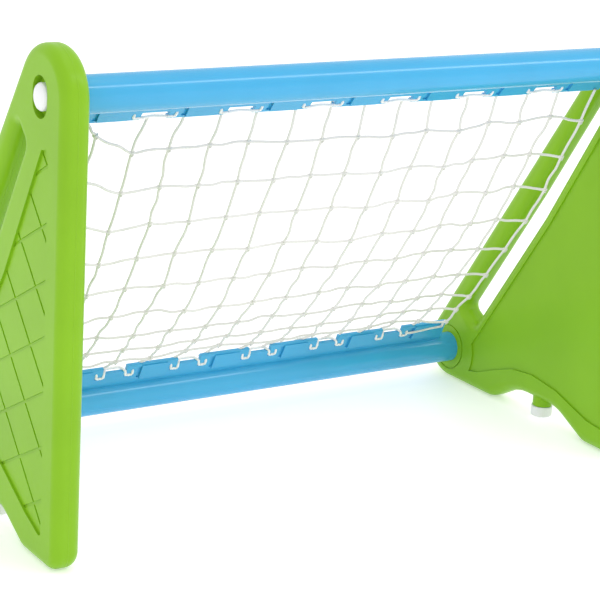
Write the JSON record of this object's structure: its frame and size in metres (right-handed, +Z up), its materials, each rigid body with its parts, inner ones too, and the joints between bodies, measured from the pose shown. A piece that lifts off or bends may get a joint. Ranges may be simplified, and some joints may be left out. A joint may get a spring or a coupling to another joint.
{
  "type": "hockey goal net",
  "caption": "Small play goal: triangular hollow side panels, finned cross bars above and behind, and a knotted net laced between the bars.",
  "frame": {"origin": "on the floor under the middle of the goal's bounding box", "axes": "+X along the bars to the right seen from the front, +Y from the open front to the back, +Z up"},
  "size_m": [0.941, 0.4714, 0.627],
  "materials": {
    "green_plastic": "satin moulded",
    "blue_plastic": "satin moulded",
    "white_plastic": "satin",
    "inner_plastic": "matte",
    "seal_rubber": "matte",
    "net_cord": "twisted cord",
    "lacing_cord": "twisted cord"
  },
  "bodies": {
    "goal_frame": {"left_side_panel": "green_plastic", "right_side_panel": "green_plastic", "top_bar": "blue_plastic", "bottom_bar": "blue_plastic", "top_bar_left_plug": "inner_plastic", "top_bar_right_plug": "inner_plastic", "bottom_bar_left_plug": "inner_plastic", "bottom_bar_right_plug": "inner_plastic", "bar_screws": "white_plastic", "screw_washers": "inner_plastic", "net": "net_cord", "top_lacing_cord": "lacing_cord", "bottom_lacing_cord": "lacing_cord"},
    "left_seal": {"left_filler_seal": "seal_rubber"},
    "left_cap": {"left_filler_cap": "white_plastic"},
    "right_seal": {"right_filler_seal": "seal_rubber"},
    "right_cap": {"right_filler_cap": "white_plastic"}
  },
  "joints": [
    {"name": "left_seal_travel", "type": "slide", "parent": "goal_frame", "child": "left_seal", "axis": [0, 0, -1], "range_m": [0, 0.0036]},
    {"name": "left_cap_turn", "type": "hinge", "parent": "left_seal", "child": "left_cap", "pos_m": [-0.447, -0.0347, 0.0124], "axis": [0, 0, -1], "range_deg": [0, 434]},
    {"name": "right_seal_travel", "type": "slide", "parent": "goal_frame", "child": "right_seal", "axis": [0, 0, -1], "range_m": [0, 0.0036]},
    {"name": "right_cap_turn", "type": "hinge", "parent": "right_seal", "child": "right_cap", "pos_m": [0.447, -0.0347, 0.0124], "axis": [0, 0, -1], "range_deg": [0, 434]}
  ],
  "couplings": [
    {"joint": "left_cap_turn", "follows": "left_seal_travel", "rad_per_m": 2094.4},
    {"joint": "right_cap_turn", "follows": "right_seal_travel", "rad_per_m": 2094.4}
  ]
}
